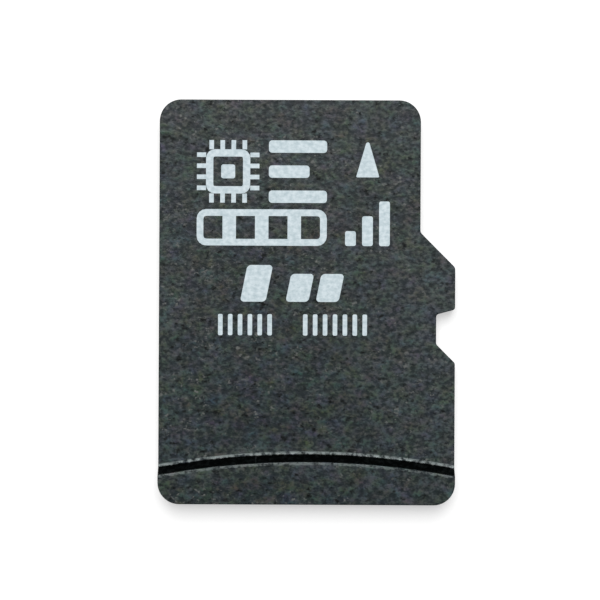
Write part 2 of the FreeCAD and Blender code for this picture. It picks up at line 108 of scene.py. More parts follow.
def add_node(tree, kind, inputs=None, **settings):
    """Adds a node, sets its options, and gives each named input a value or a link."""
    made = tree.nodes.new(kind)
    for name, setting in settings.items():
        setattr(made, name, setting)
    for name, source in (inputs or {}).items():
        if isinstance(source, bpy.types.NodeSocket):
            tree.links.new(source, made.inputs[name])
        else:
            made.inputs[name].default_value = source
    return made


def calculate(tree, operation, first, second=0.0):
    """The result of a Math node."""
    return add_node(tree, "ShaderNodeMath", {0: first, 1: second}, operation=operation).outputs[0]


def shade(red, green, blue):
    """A colour that nothing shows through."""
    return (red, green, blue, 1.0)


def white_sheet():
    """Matt paint, with a glow that only the camera and reflections see."""
    finish = bpy.data.materials.new("studio_floor")
    finish.use_nodes = True
    tree = finish.node_tree
    tree.nodes.clear()
    seen = add_node(tree, "ShaderNodeLightPath").outputs
    mirrored = calculate(tree, "MAXIMUM", seen["Is Glossy Ray"], seen["Is Transmission Ray"])
    direct = calculate(tree, "MAXIMUM", seen["Is Camera Ray"], mirrored)
    strength = calculate(tree, "MULTIPLY", direct, FLOOR_GLOW)
    glow = add_node(tree, "ShaderNodeEmission", {"Strength": strength})
    colour = shade(FLOOR_GREY, FLOOR_GREY, FLOOR_GREY)
    paint = add_node(tree, "ShaderNodeBsdfDiffuse", {"Color": colour})
    both = add_node(tree, "ShaderNodeAddShader", {0: paint.outputs[0], 1: glow.outputs[0]})
    add_node(tree, "ShaderNodeOutputMaterial", {"Surface": both.outputs[0]})
    return finish


floor_finish = white_sheet()
print("floor's finish:", len(floor_finish.node_tree.nodes), "nodes")

# %% Floor
FLOOR_SIZE = 1.2

bpy.ops.object.select_all(action="DESELECT")
bpy.ops.mesh.primitive_plane_add(size=FLOOR_SIZE, location=(0, 0, cad_low.z))
floor = bpy.context.object
floor.name = "studio_floor"
floor.data.materials.append(floor_finish)
print("floor in m:", FLOOR_SIZE, "at height", round(cad_low.z, 6))

# %% [markdown]
# ## Light
# One large soft lamp hangs high up in front of the card, and an even, weaker light comes from all
# round. Several small lamps would light it too, but each would leave a spot of its own on the face.
# The lamp's reflection is what turns the black compound grey. Seen from the camera, the front end
# mirrors a little more of it than the rear end does, so the face fades from front to rear as it does
# in the picture.

# %% Lamp and surroundings
LAMP_SIZE = 0.26
LAMP_PLACE = Vector((0.0, 0.16, 0.30))
LAMP_POWER = 1.3
SURROUND_LEVEL = 0.25

bpy.ops.object.light_add(type="AREA", location=LAMP_PLACE)
lamp = bpy.context.object
lamp.name = "soft_lamp"
lamp.data.size = LAMP_SIZE
lamp.data.energy = LAMP_POWER
lamp.rotation_euler = (-LAMP_PLACE).to_track_quat("-Z", "Y").to_euler()

world = bpy.data.worlds.new("studio")
bpy.context.scene.world = world
world.use_nodes = True
world.node_tree.nodes.clear()
background = add_node(world.node_tree, "ShaderNodeBackground", {"Strength": SURROUND_LEVEL})
add_node(world.node_tree, "ShaderNodeOutputWorld", {"Surface": background.outputs[0]})
print("lamp at", [round(side, 3) for side in LAMP_PLACE], "with power", LAMP_POWER)
print("surroundings:", SURROUND_LEVEL)

# %% [markdown]
# ## Fine grain, shared by several finishes
# Moulding compound, solder resist, ceramic and printed ink all have a grain of about a tenth of a
# millimetre. It could be drawn anew in each material, but one node group keeps it in step: the ink
# then shows the grain of the compound below it. The group gives a height for bumps, a soft tone for
# blotches, a tint that wanders between warm and cold, a mask of pale specks that are painted glints,
# and a mask of small pits that are painted shade. The grain is a little longer across the card than
# along it.

# %% Node group for grain
GRAIN_STRETCH = (1.0, 1.3, 1.0)
GREY = Vector((0.5, 0.5, 0.5))
TINT_SPREAD = Vector((1.4, 0.95, 1.4))


def fade(tree, value, start, end, low=0.0, high=1.0):
    """A smooth change from low to high while the value goes from start to end."""
    limits = {"Value": value, "From Min": start, "From Max": end, "To Min": low, "To Max": high}
    return add_node(tree, "ShaderNodeMapRange", limits, interpolation_type="SMOOTHSTEP").outputs[0]


def scaled(tree, place, factors):
    """The place with each axis multiplied by its own factor."""
    return add_node(tree, "ShaderNodeVectorMath", {0: place, 1: factors}, operation="MULTIPLY").outputs[0]


def grain_noise(tree, place, grains, share, seed, detail=2.0):
    """Noise with a share of the grain's count per metre. The seed picks another part of the pattern."""
    count = calculate(tree, "MULTIPLY", grains, share)
    noise = {"Vector": place, "Scale": count, "W": seed, "Detail": detail, "Roughness": 0.6}
    return add_node(tree, "ShaderNodeTexNoise", noise, noise_dimensions="4D").outputs


def wandering_tint(tree, colours):
    """Spreads a noise's red and blue wider about grey, and keeps its green almost as it is."""
    spread = {0: colours, 1: TINT_SPREAD, 2: GREY - GREY * TINT_SPREAD}
    return add_node(tree, "ShaderNodeVectorMath", spread, operation="MULTIPLY_ADD").outputs[0]


def build_grain():
    """The shared group: a place and a count of grains go in, and the marks of the grain come out."""
    tree = bpy.data.node_groups.new("fine_grain", "ShaderNodeTree")
    tree.interface.new_socket("Place", in_out="INPUT", socket_type="NodeSocketVector")
    tree.interface.new_socket("Grains per metre", in_out="INPUT", socket_type="NodeSocketFloat")
    for name in ("Height", "Tone", "Painted glints", "Painted pit shade"):
        tree.interface.new_socket(name, in_out="OUTPUT", socket_type="NodeSocketFloat")
    tree.interface.new_socket("Tint", in_out="OUTPUT", socket_type="NodeSocketColor")
    given = add_node(tree, "NodeGroupInput").outputs
    grains = given["Grains per metre"]
    place = scaled(tree, given["Place"], GRAIN_STRETCH)
    glints = grain_noise(tree, place, grains, share=0.8, seed=4.0)["Fac"]
    glint_places = grain_noise(tree, place, grains, share=0.11, seed=9.0)["Fac"]
    hollows = grain_noise(tree, place, grains, share=0.6, seed=12.0)["Fac"]
    colours = grain_noise(tree, place, grains, share=0.28, seed=6.0, detail=4.0)["Color"]
    painted_glints = fade(tree, glints, 0.58, 0.70)
    results = {
        "Height": grain_noise(tree, place, grains, share=0.85, seed=0.0)["Fac"],
        "Tone": grain_noise(tree, place, grains, share=0.2, seed=2.0)["Fac"],
        "Painted glints": calculate(tree, "MULTIPLY", painted_glints, fade(tree, glint_places, 0.40, 0.62)),
        "Painted pit shade": fade(tree, hollows, 0.54, 0.72),
        "Tint": wandering_tint(tree, colours),
    }
    add_node(tree, "NodeGroupOutput", results)
    return tree


grain_group = build_grain()
print("grain group nodes:", len(grain_group.nodes))

# %% [markdown]
# ## Film and ceramic
# The finishes start with the simplest ones. Under each die lies a film of amber glue, and the
# capacitors are blocks of tan ceramic: matt stuff with a fine grain. One flat colour would make
# them look like plastic, so two colours are mixed by the grain, which also gives the bumps. Every
# finish begins in the same way, with a Principled shader and the place on the object as the
# coordinate for its patterns. Object coordinates are in metres from the card's own origin, so a
# pattern keeps its real size and stays on the card from every side. Bumps are given their real
# depth.

# %% Helpers for finishes, and two plain ones
MATT_BUMP = 0.003 * MM

finishes = {}


def new_finish(slot):
    """Starts the material of a slot. Gives its node tree, its shader and the place on the object."""
    finishes[slot] = bpy.data.materials.new(f"{slot}_finish")
    finishes[slot].use_nodes = True
    tree = finishes[slot].node_tree
    place = add_node(tree, "ShaderNodeTexCoord").outputs["Object"]
    return tree, tree.nodes["Principled BSDF"], place


def grain(tree, place, grains_per_metre):
    """Places the shared grain in a material and gives its outputs."""
    inputs = {"Place": place, "Grains per metre": grains_per_metre}
    return add_node(tree, "ShaderNodeGroup", inputs, node_tree=grain_group).outputs


def blend(tree, share, first, second, blend_type="MIX"):
    """A mix of two colours."""
    inputs = {0: share, 6: first, 7: second}
    return add_node(tree, "ShaderNodeMix", inputs, data_type="RGBA", blend_type=blend_type).outputs[2]


def bumps(tree, height, depth):
    """A normal with bumps as deep as given, in metres."""
    return add_node(tree, "ShaderNodeBump", {"Height": height, "Distance": depth}).outputs["Normal"]


def feed(tree, shader, **patterns):
    """Links patterns to the shader's inputs; an underscore stands for a space."""
    for name, pattern in patterns.items():
        tree.links.new(pattern, shader.inputs[name.replace("_", " ")])


def print_finishes(*slots):
    """Says how many nodes each of these finishes has."""
    for slot in slots:
        print(slot, "has", len(finishes[slot].node_tree.nodes), "nodes")


def grainy(slot, dark, light, grains, roughness):
    """A plain matt stuff with a grain."""
    tree, shader, place = new_finish(slot)
    marks = grain(tree, place, grains)
    colour = blend(tree, fade(tree, marks["Height"], 0.3, 0.7), dark, light)
    shader.inputs["Roughness"].default_value = roughness
    feed(tree, shader, Base_Color=colour, Normal=bumps(tree, marks["Height"], MATT_BUMP))


grainy(
    "die_film",
    dark=shade(0.42, 0.30, 0.15),
    light=shade(0.60, 0.46, 0.26),
    grains=20000,
    roughness=0.6,
)
grainy(
    "capacitor_ceramic",
    dark=shade(0.36, 0.24, 0.13),
    light=shade(0.55, 0.40, 0.25),
    grains=24000,
    roughness=0.5,
)
print_finishes("die_film", "capacitor_ceramic")

# %% [markdown]
# ## Metals
# Gold is plated on the contacts and on the copper inside, the wires are gold all through, and the
# capacitors have tinned ends. A metal is mostly its reflection, so a colour alone does little for
# it and the detail goes into the roughness. The contacts get fine lines along the card, as the
# springs of a socket leave them: noise that is stretched to streaks.

# %% Finishes of the metals
CONTACT_LINES = (70000, 2500, 2500)
CONTACT_GRAINS = 9000
CONTACT_BUMP = 0.002 * MM
METAL_BUMP = 0.001 * MM


def streaks(tree, place, per_metre):
    """Noise stretched to streaks, which run along the axes that have few changes per metre."""
    noise = {"Vector": scaled(tree, place, per_metre), "Scale": 1.0, "Detail": 3.0}
    return add_node(tree, "ShaderNodeTexNoise", noise).outputs["Fac"]


def contact_gold():
    """Plated gold with the lines that sliding springs leave."""
    tree, shader, place = new_finish("contact_gold")
    lines = streaks(tree, place, CONTACT_LINES)
    marks = grain(tree, place, CONTACT_GRAINS)
    colour = blend(tree, fade(tree, lines, 0.3, 0.7), shade(0.78, 0.52, 0.19), shade(0.93, 0.70, 0.33))
    gloss = fade(tree, lines, 0.3, 0.75, 0.2, 0.42)
    shader.inputs["Metallic"].default_value = 1.0
    normal = bumps(tree, marks["Height"], CONTACT_BUMP)
    feed(tree, shader, Base_Color=colour, Roughness=gloss, Normal=normal)


def plain_metal(slot, dark, light, grains, glossy, dull):
    """A metal with a grain in its colour, and in its roughness between glossy and dull."""
    tree, shader, place = new_finish(slot)
    marks = grain(tree, place, grains)
    colour = blend(tree, marks["Height"], dark, light)
    gloss = fade(tree, marks["Tone"], 0.3, 0.7, glossy, dull)
    shader.inputs["Metallic"].default_value = 1.0
    normal = bumps(tree, marks["Height"], METAL_BUMP)
    feed(tree, shader, Base_Color=colour, Roughness=gloss, Normal=normal)


contact_gold()
plain_metal(
    "bond_copper",
    dark=shade(0.74, 0.50, 0.20),
    light=shade(0.90, 0.68, 0.34),
    grains=20000,
    glossy=0.25,
    dull=0.4,
)
plain_metal(
    "bond_wire",
    dark=shade(0.80, 0.56, 0.20),
    light=shade(0.95, 0.72, 0.32),
    grains=40000,
    glossy=0.15,
    dull=0.25,
)
plain_metal(
    "tinned_ends",
    dark=shade(0.58, 0.58, 0.56),
    light=shade(0.78, 0.78, 0.76),
    grains=20000,
    glossy=0.4,
    dull=0.55,
)
print_finishes("contact_gold", "bond_copper", "bond_wire", "tinned_ends")

# %% [markdown]
# ## Silicon
# A memory die is a dark mirror that is divided into large planes, each ruled with lines so fine
# that they only tint it. The planes could be modelled as grooves, but they are flat metal under
# glass. A Brick texture without its offset gives such a grid, and a Wave texture rules the lines.

# %% Finish of the dies
PLANE_WIDTH = 2.0
PLANE_LENGTH = 2.6
PLANE_GAP = 0.04
PLANE_LINES = 0.08 * MM
PLANE_LINE_SHARE = 0.35
DIE_GRAINS = 12000
DIE_METALLIC = 0.7
WAVES_PER_SCALE = 20 / (2 * math.pi)


def ruled_lines(tree, place, pitch, direction):
    """Lines a pitch apart. A Wave texture of scale 1 has about three waves in a metre."""
    wave = {"Vector": place, "Scale": 1 / (pitch * WAVES_PER_SCALE)}
    bands = add_node(tree, "ShaderNodeTexWave", wave, bands_direction=direction).outputs["Fac"]
    return fade(tree, bands, 0.35, 0.65)


def die_planes(tree, place):
    """The colours of the planes and of the gaps between them."""
    colours = {
        "Color1": shade(0.10, 0.11, 0.16),
        "Color2": shade(0.13, 0.12, 0.17),
        "Mortar": shade(0.23, 0.23, 0.24),
    }
    sizes = {
        "Scale": 1 / MM,
        "Brick Width": PLANE_WIDTH,
        "Row Height": PLANE_LENGTH,
        "Mortar Size": PLANE_GAP,
    }
    inputs = {"Vector": place, **colours, **sizes}
    return add_node(tree, "ShaderNodeTexBrick", inputs, offset=0.0).outputs["Color"]


def silicon():
    """A dark mirror with planes, ruled finely."""
    tree, shader, place = new_finish("silicon")
    ruling = calculate(tree, "MULTIPLY", ruled_lines(tree, place, PLANE_LINES, "X"), PLANE_LINE_SHARE)
    colour = blend(tree, ruling, die_planes(tree, place), shade(0.19, 0.17, 0.20))
    marks = grain(tree, place, DIE_GRAINS)
    gloss = fade(tree, marks["Tone"], 0.3, 0.7, 0.12, 0.22)
    shader.inputs["Metallic"].default_value = DIE_METALLIC
    feed(tree, shader, Base_Color=colour, Roughness=gloss)


silicon()
print_finishes("silicon")

# %% [markdown]
# ## Board
# Both faces are black solder resist, smooth and a little shiny, with the copper tracks below it
# just showing as raised lines. Modelled tracks would be far thinner than a hair, so they are bumps
# here. They run straight in some patches and slanting in others: two sets of Wave bands, chosen
# between by the cells of a Voronoi pattern. The cut edge shows what is under the resist, brown
# laminate in thin layers of glass cloth. Height alone tells the two apart, because the resist is
# only a skin.

# %% Finish of the board
RESIST_THICKNESS = 0.025 * MM
RESIST_GRAINS = 14000
RESIST_BUMP = 0.0025 * MM
RESIST_GRAIN_SHARE = 0.6
CUT_EDGE_ROUGHNESS = 0.65
LAMINATE_LAYERS = (1500, 1500, 30000)
TRACK_PITCH = 0.2 * MM
TRACK_PATCH = 2.6 * MM
MASK_SOFT = 0.012 * MM

board_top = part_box("substrate_board")[1].z


def axes(tree, vector):
    """The X, Y and Z of a place or a direction."""
    return add_node(tree, "ShaderNodeSeparateXYZ", {"Vector": vector}).outputs


def opposite(tree, mask):
    """1 where the mask is 0, and 0 where it is 1."""
    return calculate(tree, "SUBTRACT", 1.0, mask)


def strip(tree, value, low, high):
    """1 between low and high, with a soft edge."""
    rising = fade(tree, value, low - MASK_SOFT, low + MASK_SOFT)
    falling = fade(tree, value, high + MASK_SOFT, high - MASK_SOFT)
    return calculate(tree, "MULTIPLY", rising, falling)


def blend_value(tree, share, first, second):
    """A mix of two numbers."""
    inputs = {0: share, 2: first, 3: second}
    return add_node(tree, "ShaderNodeMix", inputs, data_type="FLOAT").outputs[0]


def track_relief(tree, place):
    """Raised lines in patches, straight or slanting, and none in some patches."""
    patches = {"Vector": place, "Scale": 1 / TRACK_PATCH}
    cells = add_node(tree, "ShaderNodeTexVoronoi", patches, distance="CHEBYCHEV").outputs["Color"]
    pick = add_node(tree, "ShaderNodeSeparateColor", {"Color": cells}).outputs
    straight = ruled_lines(tree, place, TRACK_PITCH, "X")
    slanting = ruled_lines(tree, place, TRACK_PITCH, "DIAGONAL")
    lines = blend_value(tree, fade(tree, pick["Red"], 0.59, 0.61), straight, slanting)
    return calculate(tree, "MULTIPLY", lines, fade(tree, pick["Green"], 0.3, 0.5))


def board_laminate():
    """Black resist with tracks on both faces, and laminate in layers on the cut edge."""
    tree, shader, place = new_finish("board_laminate")
    marks = grain(tree, place, RESIST_GRAINS)
    edge = strip(tree, axes(tree, place)["Z"], RESIST_THICKNESS, board_top - RESIST_THICKNESS)
    tracks = calculate(tree, "MULTIPLY", track_relief(tree, place), opposite(tree, edge))
    layers = streaks(tree, place, LAMINATE_LAYERS)
    laminate = blend(tree, layers, shade(0.030, 0.020, 0.010), shade(0.095, 0.062, 0.028))
    resist = blend(tree, marks["Tone"], shade(0.008, 0.010, 0.011), shade(0.020, 0.023, 0.023))
    resist = blend(tree, tracks, resist, shade(0.017, 0.020, 0.019))
    colour = blend(tree, edge, resist, laminate)
    gloss = fade(tree, marks["Tone"], 0.3, 0.7, 0.3, 0.42)
    gloss = blend_value(tree, edge, gloss, CUT_EDGE_ROUGHNESS)
    fine = calculate(tree, "MULTIPLY", marks["Height"], RESIST_GRAIN_SHARE)
    raised = calculate(tree, "ADD", tracks, fine)
    feed(tree, shader, Base_Color=colour, Roughness=gloss, Normal=bumps(tree, raised, RESIST_BUMP))


board_laminate()
print("board's top in mm:", round(board_top / MM, 3))
print_finishes("board_laminate")

# %% [markdown]
# ## Where the finger lip is
# The slope that rises to the finger lip came from a smooth part of the mould, so it is glossy. Its
# near-black colour is painted shade, and the pale lines on its two edges are painted highlights.
# Paler patches along the lip and at the rear of the long sides are painted light as well. A second
# material would do for the slope, but its faces belong to the solid. The slope follows a circle, so
# the distance from that circle's middle picks it out. The same distance would also mark the card's
# sides below the lip, and a mask of upright faces takes those off.

# %% Masks of the lip and the sides
LIP_RADIUS = 30 * MM
LIP_SLOPE = 0.3 * MM
LIP_SIDE_LENGTH = 1.06 * MM
SLOPE_MARGIN = 0.02 * MM
# Widths of the highlights painted on the slope's foot and crest, and the crest's share of them.
FOOT_EDGE = 0.085 * MM
CREST_EDGE = 0.09 * MM
CREST_SHARE = 0.45
NICK_PLACE = -1.87 * MM
NICK_WIDTH = 0.035 * MM
NICK_SHARE = 0.4
# Where and how widely the face gets paler patches of painted light.
PAINTED_LIGHT_MIDDLE = -1.5 * MM
PAINTED_LIGHT_WIDTH = 7.5 * MM
PAINTED_LIGHT_FRONT = 5.0 * MM
PAINTED_LIGHT_LIP = 1.1 * MM

half_width = card_size.x / 2
lip_middle = Vector((0, cad_low.y + LIP_SIDE_LENGTH - math.sqrt(LIP_RADIUS**2 - half_width**2), 0))
slope_foot = LIP_RADIUS + LIP_SLOPE
slope_middle = LIP_RADIUS + LIP_SLOPE / 2


def lip_distance(tree, place):
    """Distance from the upright axis of the lip's curve."""
    ends = {0: scaled(tree, place, (1, 1, 0)), 1: lip_middle}
    return add_node(tree, "ShaderNodeVectorMath", ends, operation="DISTANCE").outputs["Value"]


def upright_faces(tree):
    """1 on the card's sides, 0 on its face."""
    facing = add_node(tree, "ShaderNodeNewGeometry").outputs["Normal"]
    return fade(tree, axes(tree, facing)["Z"], 0.5, 0.2)


def lip_slope(tree, place, distance):
    """The slope, painted black as shade, with one small nick across it."""
    slope = strip(tree, distance, LIP_RADIUS + SLOPE_MARGIN, slope_foot - SLOPE_MARGIN)
    nick = strip(tree, axes(tree, place)["X"], NICK_PLACE - NICK_WIDTH / 2, NICK_PLACE + NICK_WIDTH / 2)
    nick = calculate(tree, "MULTIPLY", nick, NICK_SHARE)
    return calculate(tree, "MULTIPLY", slope, opposite(tree, nick))


def edge_highlights(tree, distance):
    """Painted highlights on the slope's edges: all of its foot, and its crest about half as much."""
    crest = strip(tree, distance, LIP_RADIUS - CREST_EDGE, LIP_RADIUS)
    foot = strip(tree, distance, slope_foot, slope_foot + FOOT_EDGE)
    return calculate(tree, "MAXIMUM", calculate(tree, "MULTIPLY", crest, CREST_SHARE), foot)


def painted_light_places(tree, place, distance):
    """Where the face gets paler patches of painted light: along the lip, and at the rear of the long
    sides.
    """
    spot = axes(tree, place)
    aside = calculate(tree, "ABSOLUTE", calculate(tree, "SUBTRACT", spot["X"], PAINTED_LIGHT_MIDDLE))
    rear = fade(tree, spot["Y"], PAINTED_LIGHT_FRONT, 0.0)
    sides = calculate(tree, "MULTIPLY", fade(tree, aside, 0.0, PAINTED_LIGHT_WIDTH), rear)
    from_slope = calculate(tree, "ABSOLUTE", calculate(tree, "SUBTRACT", distance, slope_middle))
    return calculate(tree, "MAXIMUM", sides, fade(tree, from_slope, PAINTED_LIGHT_LIP, 0.0))


print("lip's curve about y in mm:", round(lip_middle.y / MM, 3))

# %% [markdown]
# ## Moulding compound
# Black epoxy, matt from the eroded mould it was pressed in. Close up it is grey with pale and dark
# grains, and patches with a touch of green, brown or blue. The pale grains are the glossier ones.
# Pale specks on it are painted glints, and small pits are painted shade with hardly any shine. The
# sides were cut after moulding, so they show fine upright lines in place of the grain. Face, sides
# and slope could have a material each, but the solid's faces would have to be sorted for that. So
# this is one material, and masks choose between its colours, painted light and shade among them:
# the near-black slope, pale highlights on its edges and paler patches on the face. The grain also
# pushes the masks of the slope about a little, so that its edges aren't too clean, and the painted
# highlights lie only on the tops of the grain.

# %% Finish of the moulded body
COMPOUND_GRAINS = 6400
COMPOUND_BUMP = 0.0135 * MM
COMPOUND_SHINE = 0.25
BLOTCH_SHARE = 0.3
TINT_SHARE = 0.9
CUT_LINES = (16000, 16000, 900)
# Pale colour painted as highlights on the slope's edges and as light on the face.
PAINTED_LIGHT_COLOUR = shade(0.215, 0.25, 0.248)
PAINTED_LIGHT_SHARE = 0.085
SLOPE_UNEVEN = 0.07 * MM
SLOPE_ROUGHNESS = 0.3
# Metallic shares that darken the slope and the pits as painted shade.
SLOPE_SHADE_METALLIC = 0.9
PIT_SHADE_METALLIC = 0.6


def swing(tree, value, reach):
    """How far a noise is above or below its middle value, times the reach."""
    return calculate(tree, "MULTIPLY", calculate(tree, "SUBTRACT", value, 0.5), reach)


def face_colour(tree, marks):
    """Pale and dark grains, thicker in some places than in others, with a tint, painted glints and
    painted shade in pits.
    """
    blotchy = calculate(tree, "ADD", marks["Height"], swing(tree, marks["Tone"], BLOTCH_SHARE))
    speckle = fade(tree, blotchy, 0.38, 0.68)
    colour = blend(tree, speckle, shade(0.001, 0.007, 0.009), shade(0.034, 0.046, 0.045))
    colour = blend(tree, TINT_SHARE, colour, marks["Tint"], blend_type="OVERLAY")
    # Pale specks painted as glints.
    colour = blend(tree, marks["Painted glints"], colour, shade(0.10, 0.105, 0.10))
    # Small pits painted dark as their shade.
    return blend(tree, marks["Painted pit shade"], colour, shade(0.001, 0.002, 0.002))


def mould_compound():
    """Grainy face, cut sides, the slope painted black as shade, and painted highlights, in one material.
    """
    tree, shader, place = new_finish("mould_compound")
    marks = grain(tree, place, COMPOUND_GRAINS)
    sides = upright_faces(tree)
    top = opposite(tree, sides)
    uneven = swing(tree, marks["Height"], SLOPE_UNEVEN)
    distance = calculate(tree, "ADD", lip_distance(tree, place), uneven)
    slope = calculate(tree, "MULTIPLY", lip_slope(tree, place, distance), top)
    # Painted light: paler patches on the face and highlights on the slope's edges, on the grain's tops
    # only.
    painted_light_mask = calculate(tree, "MULTIPLY", painted_light_places(tree, place, distance), PAINTED_LIGHT_SHARE)
    painted_light_mask = calculate(tree, "MAXIMUM", edge_highlights(tree, distance), painted_light_mask)
    grain_tops = calculate(tree, "MULTIPLY", fade(tree, marks["Height"], 0.32, 0.62), top)
    painted_highlights = calculate(tree, "MULTIPLY", painted_light_mask, grain_tops)

    cut_lines = streaks(tree, place, CUT_LINES)
    side_colour = blend(tree, cut_lines, shade(0.004, 0.005, 0.005), shade(0.022, 0.024, 0.024))
    colour = blend(tree, sides, face_colour(tree, marks), side_colour)
    colour = blend(tree, painted_highlights, colour, PAINTED_LIGHT_COLOUR)
    # The slope is painted near black as shade, with a faint grain.
    specks = fade(tree, marks["Height"], 0.45, 0.7)
    slope_painted_shade = blend(tree, specks, shade(0.001, 0.002, 0.002), shade(0.010, 0.013, 0.013))
    colour = blend(tree, slope, colour, slope_painted_shade)
    gloss = fade(tree, marks["Height"], 0.25, 0.75, 0.52, 0.32)
    gloss = blend_value(tree, slope, gloss, SLOPE_ROUGHNESS)
    height = blend_value(tree, sides, marks["Height"], cut_lines)
    height = calculate(tree, "MULTIPLY", height, opposite(tree, slope))
    normal = bumps(tree, height, COMPOUND_BUMP)
    # Metallic on a near-black colour takes the diffuse light off the slope and the pits: painted shade.
    pit_shade = calculate(tree, "MULTIPLY", calculate(tree, "MULTIPLY", marks["Painted pit shade"], top), PIT_SHADE_METALLIC)
    shade_metallic = calculate(tree, "MAXIMUM", calculate(tree, "MULTIPLY", slope, SLOPE_SHADE_METALLIC), pit_shade)
    shader.inputs["Specular IOR Level"].default_value = COMPOUND_SHINE
    feed(tree, shader, Base_Color=colour, Roughness=gloss, Metallic=shade_metallic, Normal=normal)


mould_compound()
print_finishes("mould_compound")

# %% [markdown]
# ## Printing ink
# The marks are pad printed in a cold white. The layer is thinner than a hair, so the compound's
# grain shows through it as a faint mottle. A noise of its own would do, but the same grain group
# with the same count keeps the two in step.

# %% Finish of the ink
INK_BUMP = 0.004 * MM
INK_ROUGHNESS = 0.6


def print_ink():
    """Cold white with the compound's grain as a mottle."""
    tree, shader, place = new_finish("print_ink")
    marks = grain(tree, place, COMPOUND_GRAINS)
    mottle = fade(tree, marks["Height"], 0.25, 0.75)
    colour = blend(tree, mottle, shade(0.43, 0.53, 0.57), shade(0.65, 0.74, 0.78))
    shader.inputs["Roughness"].default_value = INK_ROUGHNESS
    feed(tree, shader, Base_Color=colour, Normal=bumps(tree, marks["Height"], INK_BUMP))


print_ink()
print_finishes("print_ink")

# %% [markdown]
# ## Dressing the solids
# The solids come in with one plain material each, and the finish takes its place in the same slot.
# By hand that would be a pick from a list for each solid. The record says which finish each of them
# belongs to, so one loop dresses them all.

# %% Give each node its finish
for subpart in frame["record"]["subparts"]:
    node = frame["nodes"][subpart["node"]]
    node.material_slots[0].material = finishes[subpart["material_slot"]]
    print(subpart["node"], "is dressed in", subpart["material_slot"])

# %% [markdown]
# ## Insertion arrow
# The arrow points to the end that goes into the socket. It is a tall triangle with a blunt tip. It
# could be painted by a mask in the compound's finish, but print has a crisp edge and stands a
# little proud. So each mark is a flat shape with a thickness: a plane on the face, shaped in edit
# mode, that gets its layer of ink from a Solidify modifier. The plane lies a hair below the face,
# so that no gap shows at the mark's edge. For the arrow, the rectangle's front edge is drawn
# together.

# %% Helpers for printed marks
INK_LAYER = 0.016 * MM
INK_BEDDED = 0.003 * MM
ROUNDING_STEPS = 4
LIP_HEIGHT = 0.3 * MM

ink_bottom = cad_high.z - LIP_HEIGHT - INK_BEDDED


def start_patch(name, left, rear, width, length, columns=1):
    """A flat rectangle on the face, placed by its rear left corner and split into columns."""
    bpy.ops.object.select_all(action="DESELECT")
    middle = (left + width / 2, rear + length / 2, ink_bottom)
    bpy.ops.mesh.primitive_grid_add(x_subdivisions=columns, y_subdivisions=1, size=1, location=middle)
    patch = bpy.context.object
    patch.name = name
    patch.data.name = name
    patch.scale = (width, length, 1)
    bpy.ops.object.transform_apply(location=True, rotation=False, scale=True)
    return patch


def edit_points(patch, wanted=lambda place: True):
    """Opens edit mode with those points selected whose place is wanted."""
    for part in (patch.data.polygons, patch.data.edges):
        part.foreach_set("select", [False] * len(part))
    for point in patch.data.vertices:
        point.select = wanted(point.co)
    bpy.ops.object.mode_set(mode="EDIT")
    bpy.ops.mesh.select_mode(type="VERT")


def round_points(patch, radius, wanted=lambda place: True):
    """Rounds the outline at the wanted points."""
    edit_points(patch, wanted)
    bpy.ops.mesh.bevel(offset=radius, segments=ROUNDING_STEPS, affect="VERTICES")
    bpy.ops.object.mode_set(mode="OBJECT")


def pick_out(patches):
    """Selects these shapes alone, the first of them as the active one."""
    bpy.ops.object.select_all(action="DESELECT")
    for patch in patches:
        patch.select_set(True)
    bpy.context.view_layer.objects.active = patches[0]


def lay_ink(patch):
    """Gives the flat shape its thickness and puts it on the card."""
    layer = patch.modifiers.new("ink", "SOLIDIFY")
    layer.thickness = INK_LAYER
    layer.offset = 1
    pick_out([patch])
    bpy.ops.object.modifier_apply(modifier=layer.name)
    patch.data.materials.append(finishes["print_ink"])
    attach(patch, "root")
    size = [round(side / MM, 2) for side in patch.dimensions]
    print(patch.name, "has", len(patch.data.polygons), "faces and measures in mm", size)


ink_heights = [round(height / MM, 3) for height in (ink_bottom, ink_bottom + INK_LAYER)]
print("ink lies between these heights in mm:", ink_heights)

# %% Arrow
ARROW_MIDDLE = 2.23 * MM
ARROW_REAR = 4.63 * MM
ARROW_LENGTH = 1.3 * MM
ARROW_WIDTH = 0.87 * MM
ARROW_TIP_SHARE = 0.12
ARROW_CORNER = 0.05 * MM

arrow_left = ARROW_MIDDLE - ARROW_WIDTH / 2
arrow = start_patch("insertion_arrow", arrow_left, ARROW_REAR, ARROW_WIDTH, ARROW_LENGTH)
edit_points(arrow, lambda place: place.y > ARROW_REAR + ARROW_LENGTH / 2)
bpy.ops.transform.resize(value=(ARROW_TIP_SHARE, 1, 1), center_override=(ARROW_MIDDLE, 0, 0))
bpy.ops.object.mode_set(mode="OBJECT")
round_points(arrow, ARROW_CORNER)
lay_ink(arrow)

# %% [markdown]
# ## Chip mark
# At the top left is a plain sign for a memory chip: a square frame with a filled core and legs on
# all four sides. Each leg could be placed by itself, but they are all alike. So one leg becomes a
# row with an Array modifier, and the other three rows are copies turned about the chip's middle.
# The frame is a plane that is rounded first and then inset, because an inset follows round corners
# better than a bevel follows an inset.

# %% Chip's frame and core
PRINT_LEFT = -4.11 * MM
CHIP_REAR = 3.67 * MM
CHIP_SIZE = 2.32 * MM
CHIP_LEG_LENGTH = 0.34 * MM
CHIP_FRAME = 0.27 * MM
CHIP_CORNER = 0.324 * MM
CHIP_CORE = 0.52 * MM
CORE_CORNER = 0.08 * MM

chip_middle = Vector((PRINT_LEFT + CHIP_SIZE / 2, CHIP_REAR + CHIP_SIZE / 2, ink_bottom))
body_size = CHIP_SIZE - 2 * CHIP_LEG_LENGTH


